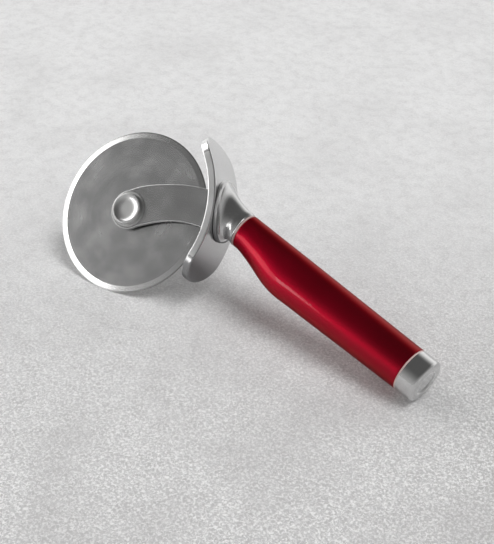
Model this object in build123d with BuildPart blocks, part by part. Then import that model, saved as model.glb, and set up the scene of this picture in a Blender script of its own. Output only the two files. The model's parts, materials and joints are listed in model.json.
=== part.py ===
from build123d import *
import math
import os

# Pastry cutter wheel: a round blade that rolls on a rivet between two arms, a curved finger guard,
# a short flared neck and a tapering handle with a metal end cap.
#
# Every piece is drawn in the tool's own frame, with the origin at the blade's centre, +X along
# the handle towards the end cap, +Y along the axle and +Z up in the plane of the blade. At the
# end the pieces are laid down together. Lengths are millimetres, angles are degrees.

# Blade
blade_radius = 44.0
blade_thickness = 1.4
bevel_width = 3.3
edge_land = 0.16

# Bush, pressed into the blade and turning on the rivet
bush_radius = 4.0
bush_half_length = 1.5
bush_flange_radius = 6.5
bush_lip_radius = 4.6
running_clearance = 0.05

# Rivet, in two halves pressed one inside the other
rivet_radius = 2.5
stud_radius = 1.5
socket_depth = 6.0
head_radius = 8.45
head_rim_radius = 8.15
head_height = 2.4
head_rim_width = 0.9
head_dish_depth = 1.2
head_floor_radius = 3.0
head_rim_round = 0.35

# Arms of the fork
arm_angle = 33.0
arm_inside = 2.7
arm_thickness = 2.0
arm_hub_radius = 10.5
arm_edge_round = 0.35
arm_tab_width = 12.0
washer_thickness = 0.5
washer_radius = 9.5
washer_chamfer = 0.12
spacer_radius = 6.0
spacer_gap = 0.1

# Finger guard: a slot-shaped plate bent round an axis parallel to the axle
guard_centre = (-6.3, -0.65)
guard_radius = 56.1
guard_thickness = 4.3
guard_half_width = 14.1
guard_half_arc = 41.5
guard_angle = 31.75
guard_edge_round = 0.7

# Collar and neck
collar_angle = 31.1
collar_long_radius = 16.3
collar_short_radius = 13.3
collar_thickness = 2.0
collar_edge_round = 0.6
neck_root_inset = 0.6
neck_steps = 8
neck_crowding = 1.6
neck_shoulder = 0.11
neck_flare_up = 3
neck_flare_across = 8
neck_end = 60.4

# Handle
seal_thickness = 0.8
seal_inset = 0.12
handle_start = neck_end + seal_thickness
handle_end = 172.7
handle_front_top = 38.2
handle_front_bottom = 19.6
handle_front_width = 15.4
handle_belly_x = 95.5
handle_belly_top = 38.1
handle_belly_bottom = 12.8
handle_belly_width = 19.5
handle_back_centre = 26.35
handle_back_radius = 11.2
handle_steps = 16
handle_edge_round = 0.7
shell_wall = 2.4
core_gap = 0.05
core_end = 150.0

# Tang through the handle, clamped by a nut
tang_radius = 2.5
tang_z = 27.0
tang_start = 53.0
tang_end = 160.0
tang_chamfer = 0.5
tang_washer_radius = 6.0
tang_washer_thickness = 1.0
nut_across_flats = 8.0
nut_height = 4.0

# End cap and the plug that holds it
cap_start = handle_end + seal_thickness
cap_length = 9.5
cap_radius = 11.15
cap_wall = 1.2
cap_edge_round = 1.9
cap_recess_radius = 6.3
cap_recess_depth = 0.5
plug_head_length = 7.5
plug_spigot_length = 8.0
plug_spigot_radius = 8.6

# Spare length on shapes that cut right through a piece
cut_margin = 5.0

# Laid-down pose, on the blade's rim and the end cap
rest_roll = -43.26
rest_slope = 12.95
rest_x = -70.64
rest_y = -7.7
rest_height = 32.8

blade_half = blade_thickness / 2
arm_outside = arm_inside + arm_thickness
washer_outside = arm_outside + washer_thickness
head_outside = washer_outside + head_height
guard_outside_radius = guard_radius + guard_thickness
collar_outside_radius = guard_outside_radius + collar_thickness
axle_plane = Plane.XY
side_plane = Plane.XZ
handle_back_top = handle_back_centre + handle_back_radius
handle_back_bottom = handle_back_centre - handle_back_radius


def on_guard(radius, angle):
    """A point of the blade's plane at a radius and angle about the guard's bending axis."""
    turn = math.radians(angle)
    return (
        guard_centre[0] + radius * math.cos(turn),
        0,
        guard_centre[1] + radius * math.sin(turn),
    )


def radial_plane(radius, angle):
    """The plane that touches a cylinder about the guard's axis, its normal pointing outwards."""
    turn = math.radians(angle)
    outward = (math.cos(turn), 0, math.sin(turn))
    return Plane(origin=on_guard(radius, angle), x_dir=(0, 1, 0), z_dir=outward)


def cross_plane(x, z):
    """The plane across the handle at a distance along it, centred at a height."""
    return Plane(origin=(x, 0, z), x_dir=(0, 1, 0), z_dir=(1, 0, 0))


def blend(start, end, share):
    """A value that eases from start to end as share goes from 0 to 1."""
    share = min(max(share, 0), 1)
    return start + (end - start) * share * share * (3 - 2 * share)


# --- Blade and bush -------------------------------------------------------------------------

with BuildPart() as wheel_blade:
    with BuildSketch(axle_plane):
        with BuildLine():
            Polyline(
                (bush_radius, -blade_half),
                (blade_radius - bevel_width, -blade_half),
                (blade_radius, -edge_land / 2),
                (blade_radius, edge_land / 2),
                (blade_radius - bevel_width, blade_half),
                (bush_radius, blade_half),
                close=True,
            )
        make_face()
    revolve(axis=Axis.Y)
wheel_blade.part.label = "wheel_blade"

with BuildPart() as wheel_bush:
    with BuildSketch(axle_plane):
        with BuildLine():
            Polyline(
                (rivet_radius + running_clearance, -bush_half_length),
                (bush_lip_radius, -bush_half_length),
                (bush_lip_radius, -blade_half),
                (bush_radius, -blade_half),
                (bush_radius, blade_half),
                (bush_flange_radius, blade_half),
                (bush_flange_radius, bush_half_length),
                (rivet_radius + running_clearance, bush_half_length),
                close=True,
            )
        make_face()
    revolve(axis=Axis.Y)
wheel_bush.part.label = "wheel_bush"

# --- Rivet, washers and spacers ---------------------------------------------------------------

shank_length = washer_outside - arm_inside + socket_depth
shank_middle = washer_outside - shank_length / 2
rim_inside = head_rim_radius - head_rim_width
dish_floor = head_outside - head_dish_depth

with BuildSketch(axle_plane) as head_section:
    with BuildLine():
        floor = Line((0, dish_floor), (head_floor_radius, dish_floor))
        Spline(floor @ 1, (rim_inside, head_outside), tangents=((1, 0), (1, 1)))
        FilletPolyline(
            (rim_inside, head_outside),
            (head_rim_radius, head_outside),
            (head_radius, washer_outside),
            (0, washer_outside),
            radius=head_rim_round,
        )
        Line((0, washer_outside), (0, dish_floor))
    make_face()

with BuildPart() as far_rivet:
    with BuildSketch(axle_plane):
        add(head_section.sketch)
        with Locations((stud_radius / 2, shank_middle)):
            Rectangle(stud_radius, shank_length)
    revolve(axis=Axis.Y)
far_rivet.part.label = "far_rivet"

with BuildPart() as near_rivet:
    with BuildSketch(axle_plane):
        mirror(head_section.sketch, about=Plane.XZ)
        with Locations((rivet_radius / 2, 0)):
            Rectangle(rivet_radius, 2 * washer_outside)
        with Locations((stud_radius / 2, shank_middle)):
            Rectangle(stud_radius, shank_length, mode=Mode.SUBTRACT)
    revolve(axis=Axis.Y)
near_rivet.part.label = "near_rivet"

with BuildPart() as far_washer:
    with BuildSketch(side_plane.offset(-washer_outside)):
        Circle(washer_radius)
        Circle(rivet_radius, mode=Mode.SUBTRACT)
    extrude(amount=washer_thickness)
    washer_circles = far_washer.edges().filter_by(GeomType.CIRCLE)
    chamfer(washer_circles.group_by(SortBy.RADIUS)[-1], length=washer_chamfer)
far_washer.part.label = "far_washer"

with BuildPart() as near_washer:
    mirror(far_washer.part, about=side_plane)
near_washer.part.label = "near_washer"

with BuildPart() as far_spacer:
    with BuildSketch(side_plane.offset(-arm_inside)):
        Circle(spacer_radius)
        Circle(rivet_radius, mode=Mode.SUBTRACT)
    extrude(amount=arm_inside - bush_half_length - spacer_gap)
far_spacer.part.label = "far_spacer"

with BuildPart() as near_spacer:
    mirror(far_spacer.part, about=side_plane)
near_spacer.part.label = "near_spacer"

# --- Arms -----------------------------------------------------------------------------------

arm_turn = math.radians(arm_angle)
arm_plane = Plane(
    origin=(0, -arm_outside, 0),
    x_dir=(math.cos(arm_turn), 0, math.sin(arm_turn)),
    z_dir=(0, -1, 0),
)
tab_centre = arm_plane.to_local_coords(Vector(*on_guard(guard_outside_radius, collar_angle)))

with BuildPart() as near_arm:
    with BuildSketch(arm_plane):
        with BuildLine():
            upper_edge = Spline((-3.4, 9.6), (5, 12.4), (20, 14), (34, 13.6), (56, 8))
            lower_edge = Spline((3.4, -9.6), (14, -7), (26, -5.6), (38, -6.9), (56, -13))
            Line(upper_edge @ 1, lower_edge @ 1)
            Line(upper_edge @ 0, lower_edge @ 0)
        make_face()
        Circle(arm_hub_radius)
    extrude(amount=-arm_thickness)
    with BuildSketch(side_plane):
        with Locations(guard_centre):
            Circle(guard_radius)
    extrude(amount=arm_outside, mode=Mode.INTERSECT)
    fillet(near_arm.faces().sort_by(Axis.Y)[0].outer_wire().edges(), radius=arm_edge_round)
    with BuildSketch(arm_plane):
        with Locations((tab_centre.X, tab_centre.Y)):
            Rectangle(4 * guard_thickness, arm_tab_width)
        with Locations(arm_plane.to_local_coords(Vector(guard_centre[0], 0, guard_centre[1]))):
            Circle(collar_outside_radius, mode=Mode.INTERSECT)
    extrude(amount=-arm_thickness)
    with Locations(side_plane):
        Hole(rivet_radius)
near_arm.part.label = "near_arm"

with BuildPart() as far_arm:
    mirror(near_arm.part, about=side_plane)
far_arm.part.label = "far_arm"

# --- Guard ----------------------------------------------------------------------------------

end_centre_angle = math.degrees((guard_half_arc - guard_half_width) / guard_outside_radius)
band_angle = math.degrees((guard_half_arc + cut_margin) / guard_outside_radius)
band_start = guard_angle - band_angle

with BuildPart() as guard:
    with BuildSketch(side_plane):
        with BuildLine():
            inner = CenterArc(guard_centre, guard_radius, band_start, 2 * band_angle)
            outer = CenterArc(guard_centre, guard_outside_radius, band_start, 2 * band_angle)
            Line(inner @ 0, outer @ 0)
            Line(inner @ 1, outer @ 1)
        make_face()
    extrude(amount=guard_half_width, both=True)
    for side in (-1, 1):
        end_angle = guard_angle + side * end_centre_angle
        with BuildSketch(radial_plane(guard_radius - cut_margin, end_angle)):
            with Locations((0, side * guard_half_width)):
                Rectangle(2 * (guard_half_width + cut_margin), 2 * guard_half_width)
            Circle(guard_half_width, mode=Mode.SUBTRACT)
        extrude(amount=guard_thickness + 2 * cut_margin, mode=Mode.SUBTRACT)
    broad_faces = guard.faces().filter_by(GeomType.CYLINDER).sort_by(SortBy.AREA)[-2:]
    fillet(broad_faces.edges(), radius=guard_edge_round)
    add(near_arm.part, mode=Mode.SUBTRACT)
    add(far_arm.part, mode=Mode.SUBTRACT)
guard.part.label = "guard"

# --- Collar and neck ------------------------------------------------------------------------

with BuildPart() as collar:
    with BuildSketch(radial_plane(guard_outside_radius - cut_margin, collar_angle)):
        Ellipse(collar_short_radius, collar_long_radius)
    extrude(amount=2 * cut_margin)
    with BuildSketch(side_plane):
        with Locations(guard_centre):
            Circle(collar_outside_radius)
            Circle(guard_outside_radius, mode=Mode.SUBTRACT)
    extrude(amount=2 * collar_short_radius, both=True, mode=Mode.INTERSECT)
    outer_face = collar.faces().filter_by(GeomType.CYLINDER).sort_by(SortBy.AREA)[-1]
    fillet(outer_face.edges(), radius=collar_edge_round)
    add(near_arm.part, mode=Mode.SUBTRACT)
    add(far_arm.part, mode=Mode.SUBTRACT)
collar.part.label = "collar"

front_up = (handle_front_top - handle_front_bottom) / 2
front_across = handle_front_width / 2
front_centre = (handle_front_top + handle_front_bottom) / 2
neck_root = Vector(*on_guard(guard_outside_radius, collar_angle))
neck_tip = Vector(neck_end, 0, front_centre)
root_long = collar_long_radius - neck_root_inset
root_short = collar_short_radius - neck_root_inset

with BuildPart() as neck:
    for step in range(neck_steps + 1):
        along = (step / neck_steps) ** neck_crowding
        flare_up = (1 - along) ** neck_flare_up
        past_shoulder = min((1 - along) / (1 - neck_shoulder), 1)
        flare_across = past_shoulder**neck_flare_across
        turn = math.radians(collar_angle * (1 - along))
        section = Plane(
            origin=neck_root + (neck_tip - neck_root) * along,
            x_dir=(0, 1, 0),
            z_dir=(math.cos(turn), 0, math.sin(turn)),
        )
        with BuildSketch(section):
            Ellipse(
                front_across + (root_short - front_across) * flare_across,
                front_up + (root_long - front_up) * flare_up,
            )
    loft()
    with BuildSketch(side_plane):
        with Locations(guard_centre):
            Circle(collar_outside_radius)
    extrude(amount=2 * collar_short_radius, both=True, mode=Mode.SUBTRACT)
    with BuildSketch(cross_plane(tang_start, tang_z)):
        Circle(tang_radius)
    extrude(amount=neck_end, mode=Mode.SUBTRACT)
neck.part.label = "neck"

# --- Handle ---------------------------------------------------------------------------------


def handle_oval(x):
    """Height of the oval's centre and its two radii, across and up, at a distance along."""
    swell = (x - handle_start) / (handle_belly_x - handle_start)
    taper = (x - handle_belly_x) / (handle_end - handle_belly_x)
    if swell < 1:
        top = blend(handle_front_top, handle_belly_top, swell)
        bottom = blend(handle_front_bottom, handle_belly_bottom, swell)
        width = blend(handle_front_width, handle_belly_width, swell)
    else:
        top = handle_belly_top + (handle_back_top - handle_belly_top) * taper
        bottom = handle_belly_bottom + (handle_back_bottom - handle_belly_bottom) * taper
        width = handle_belly_width + (2 * handle_back_radius - handle_belly_width) * taper
    return (top + bottom) / 2, width / 2, (top - bottom) / 2


def handle_body(inset):
    """The handle's whole form, inset all round from its outer surface."""
    with BuildPart() as body:
        for step in range(handle_steps + 1):
            x = handle_start + (handle_end - handle_start) * step / handle_steps
            centre, across, up = handle_oval(x)
            with BuildSketch(cross_plane(x, centre)):
                Ellipse(across - inset, up - inset)
        loft()
    return body.part


with BuildPart() as tang:
    with BuildSketch(cross_plane(tang_start, tang_z)):
        Circle(tang_radius)
    extrude(amount=tang_end - tang_start)
    chamfer(tang.edges(), length=tang_chamfer)
tang.part.label = "tang"

with BuildPart() as handle_shell:
    add(handle_body(0))
    add(handle_body(shell_wall), mode=Mode.SUBTRACT)
    shell_ends = handle_shell.faces().filter_by(GeomType.PLANE)
    for end_face in shell_ends:
        fillet(end_face.outer_wire().edges(), radius=handle_edge_round)
handle_shell.part.label = "handle_shell"

with BuildPart() as handle_core:
    add(handle_body(shell_wall + core_gap))
    split(bisect_by=cross_plane(core_end, tang_z), keep=Keep.BOTTOM)
    with Locations(cross_plane(core_end, tang_z)):
        Hole(tang_radius)
handle_core.part.label = "handle_core"

with BuildPart() as front_seal:
    with BuildSketch(cross_plane(neck_end, front_centre)):
        Ellipse(front_across - seal_inset, front_up - seal_inset)
        with Locations((0, tang_z - front_centre)):
            Circle(tang_radius, mode=Mode.SUBTRACT)
    extrude(amount=seal_thickness)
front_seal.part.label = "front_seal"

with BuildPart() as tang_washer:
    with BuildSketch(cross_plane(core_end, tang_z)):
        Circle(tang_washer_radius)
        Circle(tang_radius, mode=Mode.SUBTRACT)
    extrude(amount=tang_washer_thickness)
tang_washer.part.label = "tang_washer"

with BuildPart() as tang_nut:
    with BuildSketch(cross_plane(core_end + tang_washer_thickness, tang_z)):
        RegularPolygon(nut_across_flats / 2, 6, major_radius=False)
        Circle(tang_radius, mode=Mode.SUBTRACT)
    extrude(amount=nut_height)
tang_nut.part.label = "tang_nut"

# --- End cap --------------------------------------------------------------------------------

with BuildPart() as back_seal:
    with BuildSketch(cross_plane(handle_end, handle_back_centre)):
        Circle(handle_back_radius - seal_inset)
        Circle(plug_spigot_radius, mode=Mode.SUBTRACT)
    extrude(amount=seal_thickness)
back_seal.part.label = "back_seal"

with BuildPart() as end_cap:
    with BuildSketch(cross_plane(cap_start, handle_back_centre)):
        Circle(cap_radius)
    extrude(amount=cap_length)
    fillet(end_cap.edges().sort_by(Axis.X)[-1], radius=cap_edge_round)
    with BuildSketch(cross_plane(cap_start + cap_length, handle_back_centre)):
        Circle(cap_recess_radius)
    extrude(amount=-cap_recess_depth, mode=Mode.SUBTRACT)
    with BuildSketch(cross_plane(cap_start, handle_back_centre)):
        Circle(cap_radius - cap_wall)
    extrude(amount=cap_length - cap_wall - cap_recess_depth, mode=Mode.SUBTRACT)
end_cap.part.label = "end_cap"

with BuildPart() as cap_plug:
    with BuildSketch(cross_plane(cap_start, handle_back_centre)):
        Circle(cap_radius - cap_wall)
    extrude(amount=plug_head_length)
    with BuildSketch(cross_plane(cap_start, handle_back_centre)):
        Circle(plug_spigot_radius)
    extrude(amount=-plug_spigot_length)
cap_plug.part.label = "cap_plug"

# --- Laid-down pose and files -----------------------------------------------------------------

lowered = Location((rest_x, rest_y, rest_height), (0, rest_slope, 0))
resting = lowered * Location((0, 0, 0), (rest_roll, 0, 0))
pieces = (
    wheel_blade,
    wheel_bush,
    near_rivet,
    far_rivet,
    near_washer,
    far_washer,
    near_spacer,
    far_spacer,
    near_arm,
    far_arm,
    guard,
    collar,
    neck,
    tang,
    front_seal,
    handle_shell,
    handle_core,
    tang_washer,
    tang_nut,
    back_seal,
    end_cap,
    cap_plug,
)

os.makedirs("parts", exist_ok=True)
for piece in pieces:
    piece.part.locate(resting)
    export_step(piece.part, f"parts/{piece.part.label}.step")
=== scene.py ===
import json
import math

import bpy
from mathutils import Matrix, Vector


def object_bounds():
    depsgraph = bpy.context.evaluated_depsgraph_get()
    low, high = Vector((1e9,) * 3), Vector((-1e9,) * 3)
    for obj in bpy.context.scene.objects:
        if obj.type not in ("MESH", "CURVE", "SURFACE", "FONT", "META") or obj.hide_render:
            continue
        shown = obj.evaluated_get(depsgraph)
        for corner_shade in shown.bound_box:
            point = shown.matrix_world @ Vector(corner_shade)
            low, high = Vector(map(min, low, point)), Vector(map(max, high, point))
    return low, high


# A pastry cutter wheel lying on a pale stone table, in soft window light.
# Metres, in the CAD part's own frame: +X level, from the blade to the end cap, and +Z up from
# the table. The materials work in millimetres, in the tool's own axes below.

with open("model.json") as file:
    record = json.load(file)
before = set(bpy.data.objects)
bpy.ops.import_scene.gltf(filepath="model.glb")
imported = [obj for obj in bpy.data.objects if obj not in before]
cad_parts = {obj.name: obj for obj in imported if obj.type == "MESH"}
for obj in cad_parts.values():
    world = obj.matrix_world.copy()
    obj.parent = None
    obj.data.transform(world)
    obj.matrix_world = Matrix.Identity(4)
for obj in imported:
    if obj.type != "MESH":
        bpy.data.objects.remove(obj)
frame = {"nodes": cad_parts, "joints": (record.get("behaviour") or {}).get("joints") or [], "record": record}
cad_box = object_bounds()
box_low, box_high = cad_box
box_centre = (box_low + box_high) / 2

MM = 0.001

# The tool's own axes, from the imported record: along the handle, along the axle, up the blade
spin = frame["joints"][0]
axle_point = Vector(spin["pos_m"])
axle = Vector(spin["axis"]).normalized()
along = Vector(frame["record"]["mounts"][0]["axis"]).normalized()
upright = along.cross(axle).normalized()

# The viewer's directions, level with the table
camera_azimuth = math.radians(44.35)
right = Vector((math.cos(camera_azimuth), math.sin(camera_azimuth), 0))
away = Vector((-math.sin(camera_azimuth), math.cos(camera_azimuth), 0))


class Nodes:
    """Adds nodes to a tree. Each call returns the new node's output socket."""

    def __init__(self, tree):
        self.tree = tree
        tree.nodes.clear()

    def add(self, kind, inputs=None, output=0, **settings):
        node = self.tree.nodes.new(kind)
        for key, value in settings.items():
            setattr(node, key, value)
        for key, value in (inputs or {}).items():
            if isinstance(value, bpy.types.NodeSocket):
                self.tree.links.new(value, node.inputs[key])
            else:
                node.inputs[key].default_value = value
        return node.outputs[output]

    def math(self, operation, a, b=0.0):
        return self.add("ShaderNodeMath", {0: a, 1: b}, operation=operation)

    def plus(self, a, b):
        return self.math("ADD", a, b)

    def times(self, a, b):
        return self.math("MULTIPLY", a, b)

    def vector(self, operation, a, b, output=0):
        return self.add("ShaderNodeVectorMath", {0: a, 1: b}, output=output, operation=operation)

    def length(self, a):
        return self.vector("LENGTH", a, (0, 0, 0), output="Value")

    def dot(self, a, direction):
        return self.vector("DOT_PRODUCT", a, tuple(direction), output="Value")

    def combine(self, x, y, z):
        return self.add("ShaderNodeCombineXYZ", {"X": x, "Y": y, "Z": z})

    def parts(self, vector):
        node = self.tree.nodes.new("ShaderNodeSeparateXYZ")
        self.tree.links.new(vector, node.inputs[0])
        return node.outputs[0], node.outputs[1], node.outputs[2]

    def span(self, value, low, high, to_low=0.0, to_high=1.0):
        """Eases from to_low to to_high as value goes from low to high."""
        inputs = {
            "Value": value,
            "From Min": low,
            "From Max": high,
            "To Min": to_low,
            "To Max": to_high,
        }
        return self.add("ShaderNodeMapRange", inputs, interpolation_type="SMOOTHSTEP")

    def band(self, value, low, high, soft):
        """One between low and high, falling softly to nothing outside."""
        rising = self.span(value, low - soft, low + soft)
        falling = self.span(value, high - soft, high + soft, 1.0, 0.0)
        return self.times(rising, falling)

    def noise(self, vector, scale, detail=3.0, roughness=0.55, distortion=0.0):
        inputs = {
            "Vector": vector,
            "Scale": scale,
            "Detail": detail,
            "Roughness": roughness,
            "Distortion": distortion,
        }
        return self.add("ShaderNodeTexNoise", inputs)

    def clouds(self, place, size, detail=1.5):
        """Soft patches of the given size in millimetres, from 0 to 1."""
        return self.span(self.noise(place, 1 / size, detail, 0.5), 0.25, 0.75)

    def mix(self, factor, a, b):
        """A number between a and b."""
        return self.add("ShaderNodeMix", {0: factor, 2: a, 3: b}, data_type="FLOAT")

    def tint(self, factor, a, b):
        """A colour between a and b. a is a colour or a colour socket."""
        if not isinstance(a, bpy.types.NodeSocket):
            a = (*a, 1.0)
        return self.add(
            "ShaderNodeMix", {0: factor, 6: a, 7: (*b, 1.0)}, output=2, data_type="RGBA"
        )

    def bump(self, height, strength, distance):
        """A bumped normal. distance is in millimetres."""
        inputs = {"Height": height, "Strength": strength, "Distance": distance * MM}
        return self.add("ShaderNodeBump", inputs)

    def tool(self):
        """Millimetres from the axle, in the tool's own axes."""
        here = self.add("ShaderNodeTexCoord", output="Object")
        offset = self.vector("SUBTRACT", here, tuple(axle_point))
        offset = self.vector("MULTIPLY", offset, (1 / MM, 1 / MM, 1 / MM))
        return self.combine(*(self.dot(offset, axis) for axis in (along, axle, upright)))

    def surface(self, shader, kind="ShaderNodeOutputMaterial"):
        target = self.tree.nodes.new(kind)
        self.tree.links.new(shader, target.inputs["Surface"])


def new_material(name):
    material = bpy.data.materials.new(name)
    material.use_nodes = True
    return material, Nodes(material.node_tree)


def principled(n, **settings):
    """Ends a material. An input's name is written with underscores for its spaces."""
    inputs = {key.replace("_", " "): value for key, value in settings.items()}
    n.surface(n.add("ShaderNodeBsdfPrincipled", inputs))


def grey(value):
    return (value, value, value)


# --- Materials -------------------------------------------------------------------------------

# How fast the grain changes along each of the tool's axes; the grain is drawn out along the
# slow ones
ACROSS_AXLE = (1.0, 6.0, 1.0)
EVEN = (3.0, 3.0, 3.0)
AROUND_HANDLE = (8.0, 1.0, 1.0)

# Millimetres from the blade's plane to the guard's edge band
guard_band = 13.95
# Millimetres: the height of the end cap's axis over the axle, and its recess's radius
cap_recess = (26.35, 6.3)
# Millimetres over the axle between which a piece darkens downwards: painted shade on the lower parts of the
# guard and collar, standing in for the shadowed table below them
guard_painted_shade = (-20.0, 32.0)
collar_painted_shade = (14.0, 38.0)
painted_shade_colour = (0.11, 0.11, 0.115)

# The blade's radii in millimetres: where its ground bevel starts, and where its edge is darkened, painted
# shade that greys the bevel's reflection at the rim
bevel_start = (40.45, 40.95)
edge_shade_radii = (43.0, 43.8)


def steel(name, light, dark, roughness, grain_scale, grain_depth, rim=None, ring=None, fade=None):
    """Satin steel: cloudy tone, fine stretched grain and faint rubbed patches.

    grain_depth is in millimetres.
    rim, if given, is the distance from the blade's plane where a brighter edge band begins.
    ring, if given, is the height of an axis along the handle and the radius of a paler, rougher
    ring around it.
    Painted shade, if given, is the two heights between which the steel is darkened downwards, shade painted
    into the colour.
    """
    rub_roughness = 0.02
    grain_roughness = 0.015
    rim_softness, rim_roughness, rim_strength, rim_tone = 0.1, 0.14, 0.6, 0.82
    ring_inside, ring_outside, ring_softness = 0.2, 0.35, 0.15
    ring_roughness, ring_tone = 0.45, 0.95
    painted_shade_strength = 0.95

    material, n = new_material(name)
    place = n.tool()
    x, y, z = n.parts(place)
    patches = n.clouds(place, 16.0)
    scaled = (n.times(value, scale) for value, scale in zip((x, y, z), grain_scale))
    grain = n.noise(n.combine(*scaled), 1.0, 2.0, 0.5)
    tone = n.times(n.plus(patches, grain), 0.5)
    rub = n.clouds(place, 9.0)
    rough = n.plus(n.span(rub, 0.0, 1.0, -rub_roughness, rub_roughness), roughness)
    rough = n.plus(n.span(grain, 0.3, 0.7, -grain_roughness, grain_roughness), rough)
    colour = n.tint(tone, dark, light)
    # Painted shade: the steel darkens towards the lower heights
    if fade:
        colour = n.tint(n.span(z, *fade, painted_shade_strength, 0.0), colour, painted_shade_colour)
    if rim:
        band = n.span(n.math("ABSOLUTE", y), rim, rim + rim_softness)
        rough = n.plus(rough, n.times(band, rim_roughness))
        colour = n.tint(n.times(band, rim_strength), colour, grey(rim_tone))
    if ring:
        centre, edge = ring
        reach = n.length(n.combine(0.0, y, n.math("SUBTRACT", z, centre)))
        lip_ring = n.band(reach, edge - ring_inside, edge + ring_outside, ring_softness)
        rough = n.plus(rough, n.times(lip_ring, ring_roughness))
        colour = n.tint(lip_ring, colour, grey(ring_tone))
    principled(
        n,
        Base_Color=colour,
        Metallic=1.0,
        Roughness=rough,
        Normal=n.bump(grain, 0.12, grain_depth),
    )
    return material


def blade_steel():
    """The wheel: a satin face with fine circular grain and cloudy rub marks, a ground bevel with grain
    across it, and painted shade that darkens the cutting edge."""
    rings_share = 0.12
    face_roughness, face_variation = 0.25, 0.008
    bevel_roughness, bevel_variation = 0.24, 0.015

    material, n = new_material("blade_steel")
    place = n.tool()
    x, y, z = n.parts(place)
    radius = n.length(n.combine(x, 0.0, z))
    angle = n.math("ARCTAN2", z, x)
    rings = n.noise(n.combine(n.times(radius, 0.5), angle, y), 1.0, 2.0, 0.5)
    strokes = n.noise(n.combine(n.times(angle, 60.0), n.times(radius, 0.3), y), 1.0, 2.0, 0.5)
    patches = n.clouds(place, 14.0, 3.0)
    smudge = n.span(n.noise(place, 1 / 13.0, 1.0, 0.4), 0.45, 0.85)
    bevel = n.span(radius, *bevel_start)
    tone = n.plus(n.times(patches, 1 - rings_share), n.times(rings, rings_share))
    face = n.tint(tone, (0.49, 0.49, 0.495), grey(0.67))
    face = n.tint(n.times(smudge, 0.2), face, grey(0.78))
    colour = n.tint(bevel, face, grey(0.8))
    # Painted shade: the outer rim is darkened so the bevel's bright reflection greys out at the edge
    colour = n.tint(n.span(radius, *edge_shade_radii, 0.0, 0.75), colour, grey(0.28))
    rough = n.plus(n.span(rings, 0.3, 0.7, -face_variation, face_variation), face_roughness)
    rough = n.plus(n.times(smudge, 0.03), rough)
    ground = n.plus(
        n.span(strokes, 0.3, 0.7, -bevel_variation, bevel_variation), bevel_roughness
    )
    principled(
        n,
        Base_Color=colour,
        Metallic=1.0,
        Roughness=n.mix(bevel, rough, ground),
        Normal=n.bump(n.mix(bevel, rings, strokes), 0.02, 0.005),
    )
    return material


def red_gloss():
    """The handle: deep red metallic lacquer under a thin clear coat, with a faint ripple and a
    few specks of dust."""
    material, n = new_material("red_gloss")
    place = n.tool()
    depth = n.clouds(place, 30.0)
    ripple = n.noise(place, 1 / 7.0, 2.0, 0.4)
    dust = n.span(n.noise(place, 2.2, 2.0, 0.5), 0.76, 0.8)
    colour = n.tint(depth, (0.32, 0.0005, 0.014), (0.375, 0.0008, 0.019))
    colour = n.tint(n.times(dust, 0.35), colour, (0.45, 0.12, 0.12))
    normal = n.bump(ripple, 0.2, 0.05)
    principled(
        n,
        Base_Color=colour,
        Metallic=1.0,
        Specular_Tint=(0.45, 0.05, 0.11, 1.0),
        Roughness=n.span(depth, 0.0, 1.0, 0.38, 0.42),
        Coat_Weight=0.3,
        Coat_Roughness=n.plus(n.times(dust, 0.3), 0.02),
        Normal=normal,
        Coat_Normal=normal,
    )
    return material


def moulded(name, light, dark, roughness, grain):
    """Moulded plastic or rubber: slight tone changes and a fine pebbled skin."""
    variation = 0.06
    material, n = new_material(name)
    place = n.tool()
    patches = n.clouds(place, 8.0)
    pebbles = n.noise(place, grain, 3.0, 0.6)
    principled(
        n,
        Base_Color=n.tint(patches, dark, light),
        Roughness=n.span(pebbles, 0.3, 0.7, roughness - variation, roughness + variation),
        Normal=n.bump(pebbles, 0.3, 0.03),
    )
    return material


def stone():
    """The pale table: mottled, with a fine fibrous tooth, and painted shade that darkens it towards
    the viewer and more so in the near right corner. Distances on it are in metres from the frame's origin."""
    mottle_scale, fibre_scale, broad_scale = 120.0, 820.0, 16.0
    # Painted shade: the table runs from the near colour to the far one, standing in for the light falling
    # off towards the viewer
    shaded_near_colour, lit_far_colour = (0.56, 0.555, 0.56), (0.79, 0.79, 0.795)

    material, n = new_material("pale_stone")
    here = n.add("ShaderNodeTexCoord", output="Object")
    mottle = n.noise(here, mottle_scale, 6.0, 0.7)
    fibres = n.noise(here, fibre_scale, 4.0, 0.7, 0.8)
    broad = n.noise(here, broad_scale, 2.0, 0.5)
    depth = n.dot(here, away)
    side = n.dot(here, right)
    near = n.span(depth, -0.16, 0.1, 1.0, 0.45)
    # Painted shade in the near right corner
    corner_shade = n.times(n.span(side, 0.05, 0.16), n.span(depth, -0.12, 0.02, 0.9, 0.0))
    colour = n.tint(n.span(depth, -0.22, 0.25), shaded_near_colour, lit_far_colour)
    colour = n.tint(corner_shade, colour, (0.42, 0.415, 0.415))
    mottling = n.times(n.span(mottle, 0.4, 0.68, 0.0, 0.8), near)
    colour = n.tint(mottling, colour, (0.5, 0.492, 0.496))
    tooth = n.times(n.span(fibres, 0.42, 0.64), near)
    colour = n.tint(tooth, colour, grey(0.95))
    blotches = n.times(n.span(broad, 0.4, 0.7, 0.0, 0.4), near)
    colour = n.tint(blotches, colour, (0.5, 0.49, 0.495))
    height = n.plus(fibres, n.times(mottle, 2.0))
    principled(
        n,
        Base_Color=colour,
        Roughness=0.7,
        Specular_IOR_Level=0.3,
        Normal=n.bump(height, 0.7, 1.2),
    )
    return material


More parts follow.
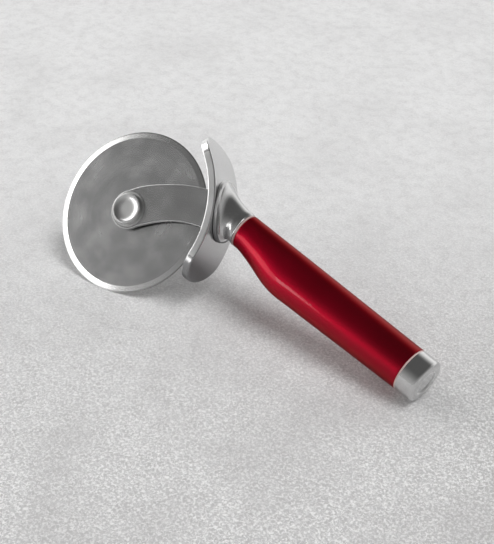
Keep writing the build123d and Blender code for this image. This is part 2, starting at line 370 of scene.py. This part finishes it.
# Each steel's light and dark tone, roughness, grain and grain depth, then any extras
steels = {
    "satin_steel": (grey(0.64), grey(0.5), 0.23, ACROSS_AXLE, 0.01, {}),
    "guard_steel": (
        grey(0.74),
        grey(0.66),
        0.22,
        ACROSS_AXLE,
        0.01,
        {"rim": guard_band, "fade": guard_painted_shade},
    ),
    "collar_steel": (grey(0.78), grey(0.68), 0.36, ACROSS_AXLE, 0.01, {"fade": collar_painted_shade}),
    "cap_steel": ((0.68, 0.68, 0.675), grey(0.6), 0.13, EVEN, 0.005, {"ring": cap_recess}),
    "polished_steel": ((0.66, 0.66, 0.655), grey(0.58), 0.33, EVEN, 0.005, {}),
    "plain_steel": ((0.5, 0.5, 0.51), (0.38, 0.38, 0.39), 0.38, AROUND_HANDLE, 0.02, {}),
}

# Each moulded material's light and dark colour, roughness and grain
mouldings = {
    "bush_polymer": (grey(0.06), grey(0.03), 0.5, 2.0),
    "core_polymer": ((0.16, 0.02, 0.02), (0.1, 0.012, 0.012), 0.55, 1.5),
    # The seal's pale pink is a painted highlight, standing in for the bright line along the handle's seams
    "seal_rubber": ((0.62, 0.46, 0.44), (0.52, 0.36, 0.35), 0.4, 3.0),
}

materials = {"blade_steel": blade_steel(), "red_gloss": red_gloss()}
for name, (*look, extras) in steels.items():
    materials[name] = steel(name, *look, **extras)
for name, look in mouldings.items():
    materials[name] = moulded(name, *look)

# The record's material for each piece, apart from three that look different from the arms
slots = {part["node"]: part["material_slot"] for part in frame["record"]["subparts"]}
slots.update(guard="guard_steel", collar="collar_steel", end_cap="cap_steel")
for name, node in frame["nodes"].items():
    node.data.materials.clear()
    node.data.materials.append(materials[slots[name]])

# --- Table -----------------------------------------------------------------------------------

scene = bpy.context.scene
table_half = 8.0
# Keeps the table's top just clear of the pieces that rest on it
table_drop = 0.0001
corners = [(-1, -1), (1, -1), (1, 1), (-1, 1)]
table_mesh = bpy.data.meshes.new("table")
table_mesh.from_pydata(
    [(x * table_half, y * table_half, box_low.z - table_drop) for x, y in corners],
    [],
    [(0, 1, 2, 3)],
)
table_mesh.materials.append(stone())
table = bpy.data.objects.new("table", table_mesh)
scene.collection.objects.link(table)

# --- Light -----------------------------------------------------------------------------------


def studio():
    """A dim room with a bright window and its brighter frame edge on the left, and a pale
    backdrop. The camera itself sees one plain tone.

    Bearings are in degrees to the right of straight ahead, heights in degrees over level.
    """
    slope_start, slope_rate = -112.0, 0.65
    window_bearings, window_heights = (-112.5, -38.0), (2.0, 60.0)
    window_soft, window_strength = 3.0, 2.8
    edge_bearings, edge_heights = (-113.5, -110.0), (5.0, 15.0)
    edge_soft, edge_strength = 1.0, 6.0
    backdrop_bearings, backdrop_heights = (-40.0, 75.0), (-20.0, 32.0)
    backdrop_soft, backdrop_strength = 18.0, 0.7

    world = bpy.data.worlds.new("studio")
    world.use_nodes = True
    scene.world = world
    n = Nodes(world.node_tree)
    direction = n.add("ShaderNodeTexCoord", output="Generated")
    bearing = n.math("ARCTAN2", n.dot(direction, right), n.dot(direction, away))
    bearing = n.math("DEGREES", bearing)
    height = n.math("DEGREES", n.math("ARCSINE", n.dot(direction, (0, 0, 1))))

    def card(bearings, heights, soft, strength):
        across = n.band(bearing, *bearings, soft)
        upward = n.band(height, *heights, soft)
        return n.times(n.times(across, upward), strength)

    room = n.span(height, -10.0, 58.0, 0.52, 0.12)
    # The window's top slopes up to the right
    slope = n.times(n.math("SUBTRACT", bearing, slope_start), slope_rate)
    window_top = n.span(n.math("SUBTRACT", height, slope), 11.0, 18.0, 1.0, 0.0)
    window = card(window_bearings, window_heights, window_soft, window_strength)
    window = n.times(window, window_top)
    frame_edge = card(edge_bearings, edge_heights, edge_soft, edge_strength)
    backdrop = card(backdrop_bearings, backdrop_heights, backdrop_soft, backdrop_strength)
    total = n.plus(n.plus(room, window), n.plus(frame_edge, backdrop))
    seen = n.span(height, -10.0, 25.0, 0.78, 0.7)
    camera_ray = n.add("ShaderNodeLightPath", output="Is Camera Ray")
    light = {"Color": (1.0, 0.995, 0.985, 1.0), "Strength": n.mix(camera_ray, total, seen)}
    n.surface(n.add("ShaderNodeBackground", light), "ShaderNodeOutputWorld")


def overhead():
    """A broad soft light above and to the right, which throws the shadow on the table. It isn't
    mirrored in the steel."""
    strength = 1.9
    width = math.radians(34.0)
    height = math.radians(66.0)
    bearing = math.radians(108.0)

    lamp = bpy.data.lights.new("overhead", "SUN")
    lamp.energy = strength
    lamp.angle = width
    light = bpy.data.objects.new("overhead", lamp)
    level = right * math.sin(bearing) + away * math.cos(bearing)
    towards = level * math.cos(height) + Vector((0, 0, math.sin(height)))
    light.rotation_mode = "QUATERNION"
    light.rotation_quaternion = towards.to_track_quat("Z", "Y")
    light.location = box_centre + towards
    light.visible_glossy = False
    scene.collection.objects.link(light)


studio()
overhead()

# --- Camera ----------------------------------------------------------------------------------

camera_elevation = math.radians(34.54)
camera_distance = 0.54851
camera_side = 0.00498
camera_rise = -0.01118

back = Vector(
    (
        math.sin(camera_azimuth) * math.cos(camera_elevation),
        -math.cos(camera_azimuth) * math.cos(camera_elevation),
        math.sin(camera_elevation),
    )
)
rise = back.cross(right).normalized()
camera_data = bpy.data.cameras.new("camera")
camera_data.lens = 72.8
camera_data.clip_start = 0.01
camera_data.clip_end = 20.0
camera = bpy.data.objects.new("camera", camera_data)
camera.location = box_centre + back * camera_distance + right * camera_side + rise * camera_rise
camera.rotation_mode = "QUATERNION"
camera.rotation_quaternion = (-back).to_track_quat("-Z", "Y")
scene.collection.objects.link(camera)
scene.camera = camera
scene.view_settings.view_transform = "Standard"
